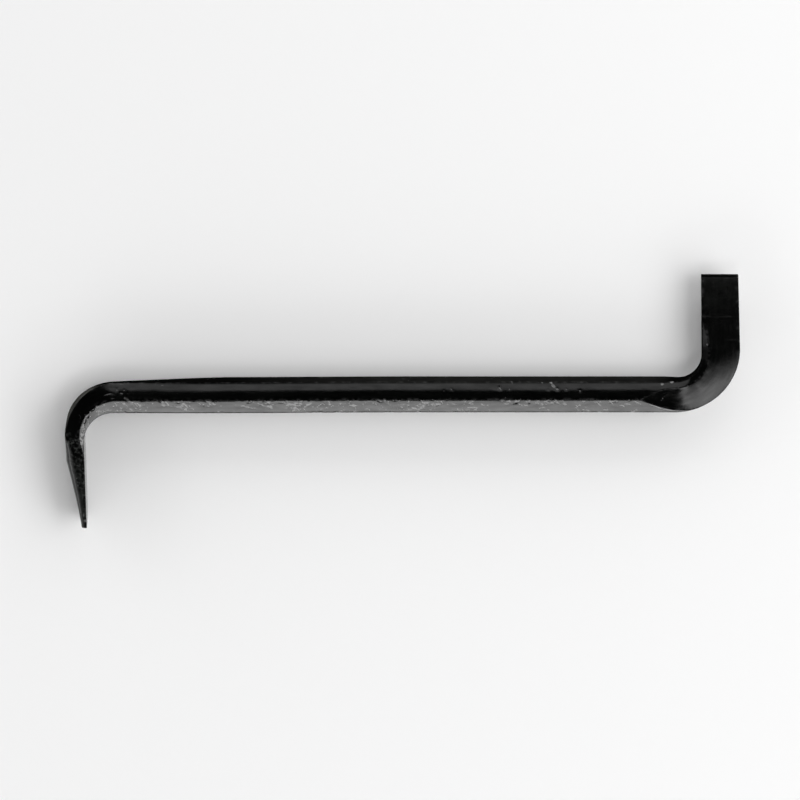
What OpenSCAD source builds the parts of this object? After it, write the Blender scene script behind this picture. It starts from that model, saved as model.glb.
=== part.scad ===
// Offset screwdriver: one hexagon bar, forged flat at both ends and turned
// square in opposite directions. The cross blade stands square to the plane of
// the two bends, and the level blade lies in that plane.
//
// The bar runs along X and both arms lie level. Two rails follow the sides of
// the tool from one tip to the other: rail a is the round side of the cross
// bend and the hollow side of the level bend, and rail b is the other side.
// Stations along the rails each carry a section, and the solid is lofted
// through them, so the hexagon flows into each blade as it does when forged.

/* [Bar] */
// Width of the hexagon bar across its flats
bar_flats = 5.75; // [4.5:0.05:7]
// Length over both arms
overall_length = 118; // [95:1:180]
// Radius of the rolled edges of the bar
bar_edge_radius = 0.3; // [0.1:0.05:0.5]
// Distance that the slight bow in the bar sets the cross end off
bow = 0.15; // [0:0.05:0.5]

/* [Blades] */
// Width of both blades at the tip
blade_width = 6.5; // [5:0.1:9]
// Thickness of both blades at the tip
tip_thickness = 1; // [0.7:0.1:1.6]
// Extra width of both blades at the root of the taper
blade_spread = 0.25; // [0:0.05:0.6]
// Distance that each tip leans towards the middle of the tool
blade_lean = 0.35; // [0:0.05:1]
// Radius of the long edges of the blades
blade_edge_radius = 0.15; // [0.05:0.05:0.3]
// Size of the chamfer round each tip
tip_break = 0.1; // [0.05:0.05:0.2]

/* [Cross blade end] */
// Distance from the bar's axis to the cross blade's tip
cross_reach = 23.5; // [21:0.1:40]
// Length of the cross blade's ground taper
taper_length = 12; // [8:0.5:12.5]
// Thickness of the cross blade where its taper starts
root_thickness = 3.3; // [2.4:0.1:3.4]
// Thickness of the cross arm where it leaves its bend
cross_arm = 3.4; // [3.1:0.1:4.5]
// Size of the rounding along the cross blade's outer edges, at the root of the taper
outer_round = 1.8; // [0.3:0.1:2.2]
// Size of that rounding at the tip
outer_round_tip = 0.75; // [0.2:0.05:0.9]
// Radius of the hollow side of the cross bend
cross_hollow_radius = 4.8; // [3:0.1:6]
// Radius of the round side of the cross bend
cross_round_radius = 8.8; // [6:0.1:11]
// Length of bar that is drawn thinner ahead of the cross bend
draw_length = 20; // [10:1:40]
// Depth that the bar is drawn down by where the cross bend starts
draw_depth = 1; // [0:0.05:1.2]
// Width of the hexagon's slope that is left where the cross bend ends
cross_slope = 0.7; // [0.3:0.05:1.2]
// Length of cross arm over which that slope fades out
fade_length = 2.2; // [1:0.1:3.5]

/* [Level blade end] */
// Distance from the bar's axis to the level blade's tip
level_reach = 21.9; // [21.2:0.1:40]
// Thickness that the forged flats leave in the level bend
level_waist = 3.3; // [2.8:0.1:5]
// Thickness of the level blade where its taper starts, at the end of the bend
level_root = 2.6; // [2:0.1:2.8]
// Radius of the hollow side of the level bend
level_hollow_radius = 4.2; // [2:0.1:6]
// Radius of the round side of the level bend
level_round_radius = 11.5; // [10:0.1:12.5]
// Length of bar over which the forged flats run out ahead of the level bend
runout_length = 5.9; // [3:0.1:12]
// Width of the hexagon's slope that is left along the hollow side
level_slope = 1.1; // [0.4:0.1:1.6]

/* [Hidden] */

// Stations round each bend, and along each other stretch
bend_steps = 24;
runout_steps = 10;
draw_steps = 8;
bar_steps = 8;
arm_steps = 6;
blade_steps = 8;
// Flats round each rounded corner of a section
corner_steps = 4;
// How fast the drawn taper starts, and how steeply the forged flats run out
draw_power = 1.3;
runout_power = 1.85;
// A power over one grinds the blades slightly hollow
grind_power = 1.2;
// Share of the level bend over which its forged flats reach their full depth
level_settle = 0.35;
// The outer rounding of the cross blade reaches further down the side than in
outer_stretch = 1.1;
// Share of the cross blade's thickness that its outer, slightly fallen top takes
outer_share = 0.8;
// Share of the level blade's taper over which its last slope fades out
level_fade = 0.5;

// Half sizes of the hexagon, to a flat and to a sharp edge
half_flats = bar_flats / 2;
half_edges = bar_flats / sqrt(3);
// Fall of the hexagon's sloping faces
hex_slope = 30;
// A rolled edge is a narrow crown, this far to each side and this high
crown_half = bar_edge_radius * tan(hex_slope / 2);
crown_height = half_edges - crown_half * tan(hex_slope);
crown_inset = half_flats - crown_half;
// Inset of a blade's rounded edge from its side
blade_inset = blade_edge_radius * (tan(hex_slope) + tan(hex_slope / 2)) * cos(hex_slope);
// Fall of the cross arm's top towards its outer side
square_fall = blade_inset * tan(hex_slope);

// Ends of the tool and the width that the blades have at their roots
end_x = overall_length / 2;
root_width = blade_width + blade_spread;
// Place of the bar's axis, with the tool's box centred and its underside at zero
axis_y = (cross_reach + bow - level_reach) / 2;
axis_z = max(root_width / 2, crown_height);

// Centres of the arcs that the rails follow round the bends
cross_round_centre = [-end_x + cross_round_radius, half_flats - draw_depth - cross_round_radius];
cross_hollow_centre = [-end_x + cross_arm + cross_hollow_radius, -half_flats - cross_hollow_radius];
level_hollow_centre = [end_x - root_width - level_hollow_radius, half_flats + level_hollow_radius];
level_round_centre = [end_x - level_round_radius, -half_flats + level_round_radius];
// Where the drawn taper and the forged run-out meet the plain bar
draw_x = cross_hollow_centre.x + draw_length;
runout_x = level_round_centre.x - runout_length;
// The bow runs along the drawn half of the bar
bow_start = end_x / 12;
bow_end = -end_x * 5 / 8;
// Length of the level bend along its middle
level_bend_length = 90 * (level_round_radius + level_hollow_radius) * PI / 360;
// The level blade's taper starts where the later of the bend's two arcs ends
level_root_y = max(level_round_centre.y, level_hollow_centre.y);
level_taper = level_reach - level_root_y;

function mix(from, to, share) = from + (to - from) * share;
function within(share) = min(max(share, 0), 1);
function ease(share) = let (s = within(share)) s * s * (3 - 2 * s);
function on_arc(centre, radius, angle) = centre + radius * [cos(angle), sin(angle)];
function direction(v) = v / norm(v);
function steps(count) = [for (i = [0:count]) i / count];

// Length that rounding a corner takes from each of its two sides
function cut_length(before, corner, after, radius) =
    let (
        turn = acos(direction(before - corner) * direction(after - corner)),
        room = 0.48 * min(norm(before - corner), norm(after - corner))
    )
    min(max(radius / tan(turn / 2), 0.02), room);

// Points round one corner of a section, from one tangent point to the other
function rounded(before, corner, after, cut_back, cut_ahead) =
    let (
        start = corner + cut_back * direction(before - corner),
        end = corner + cut_ahead * direction(after - corner)
    )
    [for (t = steps(corner_steps)) mix(mix(start, corner, t), mix(corner, end, t), t)];

// Section between the points a and b of the two rails, the same above and below.
// It is top high in the middle, and falls to the rails over inset_a and inset_b
// at the hexagon's slope. Where face_a is given, it is the height along rail a,
// and the two corners there are rounded by outer.
function section(a, b, top, inset_a, inset_b, radius, face_a = undef, outer = 0) =
    let (
        width = norm(b - a),
        height_a = is_undef(face_a) ? top - inset_a * tan(hex_slope) : face_a,
        height_b = top - inset_b * tan(hex_slope),
        upper = [[0, height_a], [inset_a, top], [width - inset_b, top], [width, height_b]],
        corners = concat(upper, [for (i = [3:-1:0]) [upper[i].x, -upper[i].y]]),
        cuts = [
            for (i = [0:7]) cut_length(corners[(i + 7) % 8], corners[i], corners[(i + 1) % 8], radius)
        ],
        slope = norm(corners[1] - corners[0]),
        rounding = min(outer, 0.85 * slope),
        shelf = max(cuts[0], rounding),
        side = max(cuts[0], min(outer_stretch * rounding, 0.9 * height_a)),
        left = min(cuts[1], 0.9 * (slope - shelf)),
        cuts_back = [side, left, cuts[2], cuts[3], cuts[4], cuts[5], cuts[6], shelf],
        cuts_ahead = [shelf, cuts[1], cuts[2], cuts[3], cuts[4], cuts[5], left, side]
    )
    [
        for (i = [0:7])
            let (before = corners[(i + 7) % 8], after = corners[(i + 1) % 8])
                for (p = rounded(before, corners[i], after, cuts_back[i], cuts_ahead[i]))
                    let (q = a + direction(b - a) * p.x)
                        [q.x, q.y - bow * ease((bow_start - q.x) / (bow_start - bow_end)), p.y]
    ];

// How far the hexagon's slope reaches in from a flat when it is cut off at a height
function cut_inset(height) = half_flats - (half_edges - height) / tan(hex_slope);
// Half thickness of the level end, at a distance from where its forged flats start
function sunk(distance) =
    let (whole = runout_length + level_settle * level_bend_length)
        mix(level_waist / 2, crown_height, pow(max(0, 1 - distance / whole), runout_power));
// Blade sizes at a share of the taper, from the tip to the root
function blade_thick(share, root) = mix(tip_thickness, root, pow(within(share), grind_power));
function blade_wide(share) = mix(blade_width, root_width, within(share));
// Shares of a taper that have a station, the first just behind the tip's chamfer
function taper_shares(length) = concat(tip_break / length, [for (i = [1:blade_steps]) i / blade_steps]);

// Rail b of the cross arm leans in a straight line from the bend to the tip
function cross_b(y) =
    let (arm = cross_reach + cross_hollow_centre.y)
        [-end_x + cross_arm + blade_lean * (cross_hollow_centre.y - y) / arm, y];
// Cross blade: share runs from the tip to the root of the taper
function cross_blade_section(share, trim) =
    let (
        thick = blade_thick(share, root_thickness),
        b = cross_b(-cross_reach + taper_length * share),
        a = b - [thick, 0],
        in = [trim, 0],
        top = blade_wide(share) / 2 - trim,
        inset_a = (thick - 2 * trim - blade_inset) * outer_share,
        outer = mix(outer_round_tip, outer_round, share) - trim
    )
    section(a + in, b - in, top, inset_a, blade_inset, blade_edge_radius, top - square_fall, outer);

cross_blade = concat(
    [cross_blade_section(0, tip_break)],
    [for (share = taper_shares(taper_length)) cross_blade_section(share, 0)]
);

// Cross arm between the blade's root and the bend: the hexagon's last slope
// shows on rail b, and its long slope has become the side of the arm
cross_arm_sections = [
    for (share = steps(arm_steps))
        if (share > 0)
            let (
                root_b = cross_b(-cross_reach + taper_length),
                root_a = root_b - [root_thickness, 0],
                a = mix(root_a, [-end_x, cross_round_centre.y], share),
                b = mix(root_b, cross_b(cross_hollow_centre.y), share),
                fade = within((cross_hollow_centre.y - b.y) / fade_length),
                inset_b = mix(cross_slope, blade_inset, fade),
                room = norm(b - a) - inset_b,
                inset_a = mix(room * outer_share, room - 2 * crown_half, share),
                radius = mix(blade_edge_radius, bar_edge_radius, share),
                outer = mix(outer_round, bar_edge_radius, ease(share))
            )
            section(a, b, root_width / 2, inset_a, inset_b, radius, root_width / 2 - square_fall, outer)
];

// Cross bend, from the arm round to the bar: the crown moves out from rail b to
// the middle as the side of the arm tips over into the hexagon's slope
cross_bend = [
    for (share = steps(bend_steps))
        if (share > 0)
            let (
                a = on_arc(cross_round_centre, cross_round_radius, 180 - 90 * share),
                b = on_arc(cross_hollow_centre, cross_hollow_radius, 180 - 90 * share),
                top = mix(root_width / 2, crown_height, ease(share)),
                inset_b = mix(cross_slope, crown_inset, share),
                inset_a = norm(b - a) - inset_b - 2 * crown_half,
                hex_face = top - inset_a * tan(hex_slope),
                face_a = mix(top - square_fall, hex_face, ease(share))
            )
            section(a, b, top, inset_a, inset_b, bar_edge_radius, face_a)
];

// Drawn length of bar, thinner from rail a's side only
drawn_bar = [
    for (share = steps(draw_steps))
        if (share > 0)
            let (
                depth = draw_depth * pow(1 - share, draw_power),
                a = [mix(cross_round_centre.x, draw_x, share), half_flats - depth],
                b = [mix(cross_hollow_centre.x, draw_x, share), -half_flats]
            )
            section(
                a, b, crown_height, norm(b - a) - crown_inset - 2 * crown_half, crown_inset,
                bar_edge_radius
            )
];

// Plain bar between the two forged ends
plain_bar = [
    for (share = steps(bar_steps))
        if (share > 0)
            let (x = mix(draw_x, runout_x, share))
                section(
                    [x, half_flats], [x, -half_flats], crown_height, crown_inset, crown_inset,
                    bar_edge_radius
                )
];

// Forged run-out: flats above and below sink into the hexagon, and their edges
// spread as they cut the sloping faces
runout = [
    for (share = steps(runout_steps))
        if (share > 0)
            let (
                a = [mix(runout_x, level_hollow_centre.x, share), half_flats],
                b = [mix(runout_x, level_round_centre.x, share), -half_flats],
                top = sunk(share * runout_length),
                inset = cut_inset(top)
            )
            section(a, b, top, max(inset, level_slope), max(inset, blade_inset), bar_edge_radius)
];

// A rail of the level bend: an arc, then straight where the other rail's arc
// ends later
function round_then_straight(centre, radius, share) =
    let (
        arc = 90 * radius * PI / 180,
        way = share * (arc + level_root_y - centre.y)
    )
    on_arc(centre, radius, -90 + 90 * min(1, way / arc)) + [0, max(0, way - arc)];

// Level bend, from the bar round to the arm: the flats reach their full depth,
// then fall away to the blade's root
level_bend = [
    for (share = steps(bend_steps))
        if (share > 0)
            let (
                a = round_then_straight(level_hollow_centre, level_hollow_radius, share),
                b = round_then_straight(level_round_centre, level_round_radius, share),
                full = sunk(runout_length + share * level_bend_length),
                thinned = pow(max(0, (share - level_settle) / (1 - level_settle)), 2),
                top = full - (level_waist - level_root) / 2 * thinned,
                radius = mix(bar_edge_radius, blade_edge_radius, share)
            )
            section(a, b, top, level_slope, max(cut_inset(full), blade_inset), radius)
];

// Level blade: share runs from the tip to the root of the taper
function level_blade_section(share, trim) =
    let (
        y = level_reach - level_taper * share,
        lean = blade_lean * (y - level_root_y) / level_taper,
        middle = [end_x - root_width / 2 - lean, y],
        half = [blade_wide(share) / 2 - trim, 0],
        inset_a = mix(blade_inset, level_slope, ease((share - level_fade) / (1 - level_fade)))
    )
    section(
        middle - half, middle + half, blade_thick(share, level_root) / 2 - trim,
        inset_a, blade_inset, blade_edge_radius
    );

level_blade = concat(
    [for (i = [blade_steps - 1:-1:0]) level_blade_section(taper_shares(level_taper)[i], 0)],
    [level_blade_section(0, tip_break)]
);

// The one solid, lofted through every station
module driver() {
    stations = concat(
        cross_blade, cross_arm_sections, cross_bend, drawn_bar, plain_bar, runout, level_bend,
        level_blade
    );
    last = len(stations) - 1;
    ring = len(stations[0]);
    sides = [
        for (s = [0:last - 1])
            for (i = [0:ring - 1])
                let (j = (i + 1) % ring, here = s * ring, next = here + ring)
                    for (triangle = [[here + i, next + i, here + j], [here + j, next + i, next + j]])
                        triangle
    ];
    caps = [[for (i = [0:ring - 1]) i], [for (i = [ring - 1:-1:0]) last * ring + i]];
    color([0.12, 0.12, 0.125])
        translate([0, axis_y, axis_z])
            polyhedron(points = [for (s = stations) for (p = s) p], faces = concat(sides, caps));
}

driver();
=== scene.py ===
"""Looks of the offset screwdriver.

The tool is one forging, so one piece stands for the one CAD node. It is lofted
by the same rule as the CAD solid and from the same sizes, many times finer, and
then worked over as the real one is: slightly crowned faces, hammer unevenness,
draw marks, dents and nicks, all cut inwards from the lofted surface. That surface
differs from the CAD's mainly beside the cross bend, where the drawn flat leans
under here and is upright there. Sizes are in millimetres until the mesh is made,
and the frame is in metres.
"""
import math

import bpy
import numpy as np
from mathutils import Matrix, Vector, noise


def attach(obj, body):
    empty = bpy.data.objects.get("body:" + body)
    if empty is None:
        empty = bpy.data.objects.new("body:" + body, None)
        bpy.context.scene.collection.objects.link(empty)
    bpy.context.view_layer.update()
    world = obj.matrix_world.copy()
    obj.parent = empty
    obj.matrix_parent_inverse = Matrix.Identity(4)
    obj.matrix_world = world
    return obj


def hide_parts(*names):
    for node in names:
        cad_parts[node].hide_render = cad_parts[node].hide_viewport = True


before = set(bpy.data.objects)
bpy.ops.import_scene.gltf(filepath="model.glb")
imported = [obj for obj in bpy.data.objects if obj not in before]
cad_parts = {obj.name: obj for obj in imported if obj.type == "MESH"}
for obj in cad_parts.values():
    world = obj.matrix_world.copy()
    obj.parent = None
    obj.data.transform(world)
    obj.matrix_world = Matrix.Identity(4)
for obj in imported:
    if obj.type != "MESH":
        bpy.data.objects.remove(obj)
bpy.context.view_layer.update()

MM = 0.001

# ---------------------------------------------------------------- sizes, in mm
OVERALL_LENGTH = 118.0      # over both arms
BAR_FLATS = 5.75            # hexagon bar across its flats
BAR_EDGE_RADIUS = 0.3       # rolled edges of the bar
BOW = 0.15                  # how far the cross end lies to -Y of the straight bar
BLADE_WIDTH = 6.5           # at both tips
BLADE_SPREAD = 0.25         # how much wider both roots are
BLADE_LEAN = 0.35           # how far each arm leans in over the bar by its tip
BLADE_EDGE_RADIUS = 0.15    # long edges of both blades
TIP_THICKNESS = 1.0
TIP_BREAK = 0.1             # rounding of the edge round each tip
GRIND_POWER = 1.2           # above 1, as the tapers are hollow-ground

# Cross end, whose blade stands square to the level plane
CROSS_REACH = 23.5          # bar's axis to the tip
CROSS_ARM = 3.4             # thickness of the arm at the bend
ROOT_THICKNESS = 3.3
TAPER_LENGTH = 12.0
CROSS_HOLLOW_RADIUS = 4.8   # inside of the bend
CROSS_ROUND_RADIUS = 8.8    # outside of the bend
DRAW_LENGTH = 20.0          # stretch of the bar that is drawn thinner beside the bend
DRAW_DEPTH = 1.0
DRAW_POWER = 1.3
CROSS_SLOPE = 0.7           # width of the slope that is left inside the bend
FADE_LENGTH = 2.2           # length over which that slope fades out down the arm
OUTER_ROUND = 1.8           # rounding of the blade's outer edge at the root
OUTER_ROUND_TIP = 0.75
OUTER_STRETCH = 1.1         # how much farther that rounding goes down the side
OUTER_SHARE = 0.8           # share of the blade's upper edge that the outer slope takes

# Level end, whose blade lies in the level plane
LEVEL_REACH = 21.9          # bar's axis to the tip
LEVEL_ROOT_THICKNESS = 2.6
LEVEL_HOLLOW_RADIUS = 4.2   # inside of the bend
LEVEL_ROUND_RADIUS = 11.5   # outside of the bend
RUNOUT_LENGTH = 5.9         # from where the forged flats start to where the bend does
RUNOUT_POWER = 1.85
LEVEL_WAIST = 3.3           # thickness between the run-out and the blade
LEVEL_SETTLE = 0.35         # share of the bend by which the flats are down to the waist
LEVEL_SLOPE = 1.1           # width of the slope that is left inside the bend
LEVEL_FADE = 0.5            # share of the blade's taper where that slope is gone

# What the fine mesh adds
STATION_GAP = 0.22          # distance between stations along the tool
TIP_STEPS = 4               # steps round the edge of each tip
CORNER_POINTS = 7           # points round each rounded corner
SIDE_POINTS = 9             # points inside each side
FACE_POINTS = 9             # points inside each other face
FACE_CROWN = 4.5            # degrees that a rolled face turns by its edges
CROWN_STARTS, CROWN_FULL = 0.8, 2.2   # widths of face between which the crown sets in
CROWN_LIMIT = 0.3           # most of a corner's radius that the crown may take
FORGED_FLATTER = 0.7        # share of that limit which full forging takes away
DRAWN_FORGED = 0.7          # share of the forging's roughness where the cross bend ends
LEVEL_FORGED = 0.3          # share of it on the level end
KEPT_SETS_IN, KEPT_ENDS = 0.3, 0.5    # shares of run-out and level bend, for the kept crown
LEAN_SETS_IN = 0.5          # factor on the drawn flat's lean where the bend starts, 1 by its end

# Limits that keep the roundings of one section apart
ROUND_SHARE = 0.48          # most of the shorter face beside it that a rounding may take
LEAST_ROUND = 0.02
SHALLOW, STRAIGHT = 155, 175          # corner angles between which it grows to that limit
OUTER_OVER, OUTER_DOWN = 0.85, 0.45   # the same for the cross blade's outer edge
LEFT_OVER = 0.9             # most of what that edge leaves that the next rounding may take

SLOPE_ANGLE = math.radians(30)
CORNER_ANGLE = SLOPE_ANGLE / 2
TAN_SLOPE = math.tan(SLOPE_ANGLE)
HALF_FLATS = BAR_FLATS / 2
HALF_EDGES = BAR_FLATS / math.sqrt(3)
# The bar's upper ridge is rolled to a narrow flat: half its width, its height over the
# axis, and how far it lies from each side of the bar
CROWN_HALF = BAR_EDGE_RADIUS * math.tan(CORNER_ANGLE)
CROWN_HEIGHT = HALF_EDGES - CROWN_HALF * TAN_SLOPE
CROWN_INSET = HALF_FLATS - CROWN_HALF
# A blade's long edge is broken: over this width of its face, and this far down its side
BLADE_INSET = BLADE_EDGE_RADIUS * (TAN_SLOPE + math.tan(CORNER_ANGLE)) * math.cos(SLOPE_ANGLE)
SQUARE_FALL = BLADE_INSET * TAN_SLOPE
CROWN_PER_WIDTH = math.tan(math.radians(FACE_CROWN)) / 4    # sag at a face's edges, by its width
END_X = OVERALL_LENGTH / 2
ROOT_WIDTH = BLADE_WIDTH + BLADE_SPREAD
AXIS_Y = (CROSS_REACH + BOW - LEVEL_REACH) / 2
AXIS_Z = max(ROOT_WIDTH / 2, CROWN_HEIGHT)
HALF_BOX_Y = (CROSS_REACH + BOW + LEVEL_REACH) / 2
CROSS_ROUND = np.array([
    -END_X + CROSS_ROUND_RADIUS,
    HALF_FLATS - DRAW_DEPTH - CROSS_ROUND_RADIUS,
])
CROSS_HOLLOW = np.array([
    -END_X + CROSS_ARM + CROSS_HOLLOW_RADIUS,
    -HALF_FLATS - CROSS_HOLLOW_RADIUS,
])
LEVEL_HOLLOW = np.array([
    END_X - ROOT_WIDTH - LEVEL_HOLLOW_RADIUS,
    HALF_FLATS + LEVEL_HOLLOW_RADIUS,
])
LEVEL_ROUND = np.array([END_X - LEVEL_ROUND_RADIUS, -HALF_FLATS + LEVEL_ROUND_RADIUS])
DRAW_X = CROSS_HOLLOW[0] + DRAW_LENGTH
RUNOUT_X = LEVEL_ROUND[0] - RUNOUT_LENGTH
CROSS_ARM_LENGTH = CROSS_REACH - TAPER_LENGTH + CROSS_HOLLOW[1]
CROSS_BEND_LENGTH = math.pi / 4 * (CROSS_ROUND_RADIUS + CROSS_HOLLOW_RADIUS)
LEVEL_BEND_LENGTH = math.pi / 4 * (LEVEL_ROUND_RADIUS + LEVEL_HOLLOW_RADIUS)
LEVEL_ROOT_Y = max(LEVEL_ROUND[1], LEVEL_HOLLOW[1])
LEVEL_TAPER = LEVEL_REACH - LEVEL_ROOT_Y
BOW_START, BOW_END = END_X / 12, -END_X * 5 / 8    # X where the bow starts and is full

# The faces of a section, and the corners too, as each face is numbered by the corner that
# it starts from. The a side looks to +Y along the bar. A_SLOPE, TOP and B_SLOPE are the
# upper faces, and LOW_A, BOTTOM and LOW_B mirror them.
A_SLOPE, TOP, B_SLOPE, B_SIDE, LOW_B, BOTTOM, LOW_A, A_SIDE = range(8)


def mix(start, end, share):
    return start + (end - start) * share


def within(share):
    return min(max(share, 0.0), 1.0)


def ease(share):
    s = within(share)
    return s * s * (3 - 2 * s)


def rise(past, over):
    """Grows from 0 to 1 while past grows from 0 to over."""
    return np.clip(past / over, 0, 1)


def on_arc(centre, radius, degrees):
    angle = math.radians(degrees)
    return centre + radius * np.array([math.cos(angle), math.sin(angle)])


def shares(length):
    """Even steps from 0 to 1 along a stretch of that length, without the 0."""
    count = max(2, round(length / STATION_GAP))
    return [(i + 1) / count for i in range(count)]


# ------------------------------------------------------------------- stations
def section(a, b, top, inset_a, inset_b, radius, face_a=None, outer=0.0):
    """The form of one cross section, between its points a and b on the two rails.

    top is the half height, and each inset says how far the top face stops short of that
    rail. face_a is the half height of the a side, where it isn't the one that a
    hexagon's slope gives. outer is the cross blade's larger rounding.
    """
    return {
        "a": a, "b": b, "top": top, "inset_a": inset_a, "inset_b": inset_b,
        "radius": radius, "face_a": face_a, "outer": outer,
    }


def cut_inset(height):
    """How far a flat forged on at that half height stops short of the bar's side."""
    return HALF_FLATS - (HALF_EDGES - height) / TAN_SLOPE


def blade_thick(share, root=ROOT_THICKNESS):
    return mix(TIP_THICKNESS, root, within(share) ** GRIND_POWER)


def blade_wide(share):
    return mix(BLADE_WIDTH, ROOT_WIDTH, within(share))


def sunk(distance):
    """Half thickness of the level end at a distance from where its forged flats start."""
    whole = RUNOUT_LENGTH + LEVEL_SETTLE * LEVEL_BEND_LENGTH
    return mix(LEVEL_WAIST / 2, CROWN_HEIGHT, max(0.0, 1 - distance / whole) ** RUNOUT_POWER)


def cross_b(y):
    """The b rail's point at y, down the cross arm."""
    arm = CROSS_REACH + CROSS_HOLLOW[1]
    return np.array([-END_X + CROSS_ARM + BLADE_LEAN * (CROSS_HOLLOW[1] - y) / arm, y])


def cross_blade(share, trim=0.0):
    b = cross_b(-CROSS_REACH + TAPER_LENGTH * share)
    thick = blade_thick(share)
    top = blade_wide(share) / 2 - trim
    return section(
        b - [thick, 0] + [trim, 0], b - [trim, 0], top,
        inset_a=(thick - 2 * trim - BLADE_INSET) * OUTER_SHARE,
        inset_b=BLADE_INSET,
        radius=BLADE_EDGE_RADIUS,
        face_a=top - SQUARE_FALL,
        outer=mix(OUTER_ROUND_TIP, OUTER_ROUND, share) - trim,
    )


def cross_arm(share):
    root_b = cross_b(-CROSS_REACH + TAPER_LENGTH)
    root_a = root_b - [ROOT_THICKNESS, 0]
    a = mix(root_a, np.array([-END_X, CROSS_ROUND[1]]), share)
    b = mix(root_b, cross_b(CROSS_HOLLOW[1]), share)
    fade = within((CROSS_HOLLOW[1] - b[1]) / FADE_LENGTH)
    inset_b = mix(CROSS_SLOPE, BLADE_INSET, fade)
    room = np.linalg.norm(b - a) - inset_b
    return section(
        a, b, ROOT_WIDTH / 2,
        inset_a=mix(room * OUTER_SHARE, room - 2 * CROWN_HALF, share),
        inset_b=inset_b,
        radius=mix(BLADE_EDGE_RADIUS, BAR_EDGE_RADIUS, share),
        face_a=ROOT_WIDTH / 2 - SQUARE_FALL,
        outer=mix(OUTER_ROUND, BAR_EDGE_RADIUS, share**2),
    )


def cross_bend(share):
    a = on_arc(CROSS_ROUND, CROSS_ROUND_RADIUS, 180 - 90 * share)
    b = on_arc(CROSS_HOLLOW, CROSS_HOLLOW_RADIUS, 180 - 90 * share)
    top = mix(ROOT_WIDTH / 2, CROWN_HEIGHT, ease(share))
    inset_b = mix(CROSS_SLOPE, CROWN_INSET, share)
    inset_a = np.linalg.norm(b - a) - inset_b - 2 * CROWN_HALF
    square_face = top - SQUARE_FALL
    hexagon_face = top - inset_a * TAN_SLOPE
    face_a = mix(square_face, hexagon_face, ease(share))
    return section(a, b, top, inset_a, inset_b, BAR_EDGE_RADIUS, face_a)


def drawn_bar(share):
    depth = DRAW_DEPTH * (1 - share) ** DRAW_POWER
    a = np.array([mix(CROSS_ROUND[0], DRAW_X, share), HALF_FLATS - depth])
    b = np.array([mix(CROSS_HOLLOW[0], DRAW_X, share), -HALF_FLATS])
    inset_a = np.linalg.norm(b - a) - CROWN_INSET - 2 * CROWN_HALF
    return section(a, b, CROWN_HEIGHT, inset_a, CROWN_INSET, BAR_EDGE_RADIUS)


def plain_bar(share):
    x = mix(DRAW_X, RUNOUT_X, share)
    a, b = np.array([x, HALF_FLATS]), np.array([x, -HALF_FLATS])
    inset = cut_inset(CROWN_HEIGHT)
    return section(a, b, CROWN_HEIGHT, inset, inset, BAR_EDGE_RADIUS)


def runout(share):
    a = np.array([mix(RUNOUT_X, LEVEL_HOLLOW[0], share), HALF_FLATS])
    b = np.array([mix(RUNOUT_X, LEVEL_ROUND[0], share), -HALF_FLATS])
    top = sunk(share * RUNOUT_LENGTH)
    inset = cut_inset(top)
    return section(a, b, top, max(inset, LEVEL_SLOPE), max(inset, BLADE_INSET), BAR_EDGE_RADIUS)


def round_then_straight(centre, radius, share):
    """A rail of the level bend: an arc, then straight as far as the blade's root."""
    arc = math.pi / 2 * radius
    way = share * (arc + LEVEL_ROOT_Y - centre[1])
    return on_arc(centre, radius, -90 + 90 * min(1.0, way / arc)) + [0, max(0.0, way - arc)]


def level_bend(share):
    a = round_then_straight(LEVEL_HOLLOW, LEVEL_HOLLOW_RADIUS, share)
    b = round_then_straight(LEVEL_ROUND, LEVEL_ROUND_RADIUS, share)
    top = sunk(RUNOUT_LENGTH + share * LEVEL_BEND_LENGTH)
    inset_b = max(cut_inset(top), BLADE_INSET)
    # Past the waist the arm thins down to the blade's root
    thinned = max(0.0, (share - LEVEL_SETTLE) / (1 - LEVEL_SETTLE)) ** 2
    top -= (LEVEL_WAIST - LEVEL_ROOT_THICKNESS) / 2 * thinned
    radius = mix(BAR_EDGE_RADIUS, BLADE_EDGE_RADIUS, share)
    return section(a, b, top, LEVEL_SLOPE, inset_b, radius)


def level_blade(share, trim=0.0):
    y = LEVEL_REACH - LEVEL_TAPER * share
    lean = BLADE_LEAN * (y - LEVEL_ROOT_Y) / LEVEL_TAPER
    middle = np.array([END_X - ROOT_WIDTH / 2 - lean, y])
    half = np.array([blade_wide(share) / 2 - trim, 0])
    inset_a = mix(BLADE_INSET, LEVEL_SLOPE, ease((share - LEVEL_FADE) / (1 - LEVEL_FADE)))
    top = blade_thick(share, LEVEL_ROOT_THICKNESS) / 2 - trim
    return section(middle - half, middle + half, top, inset_a, BLADE_INSET, BLADE_EDGE_RADIUS)


def worked(form, forged, pull=0.0, kept=0.0):
    """A section with what the forging did to it.

    forged is the share of the forging's roughness. pull is how far the a side's upper
    edge stands out past its rail: the drawn flat leans under, with its foot at the rail.
    kept is the share of the hexagon's own crown that the a side's slopes hold on to.
    """
    return {**form, "forged": forged, "pull": pull, "kept": kept}


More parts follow.
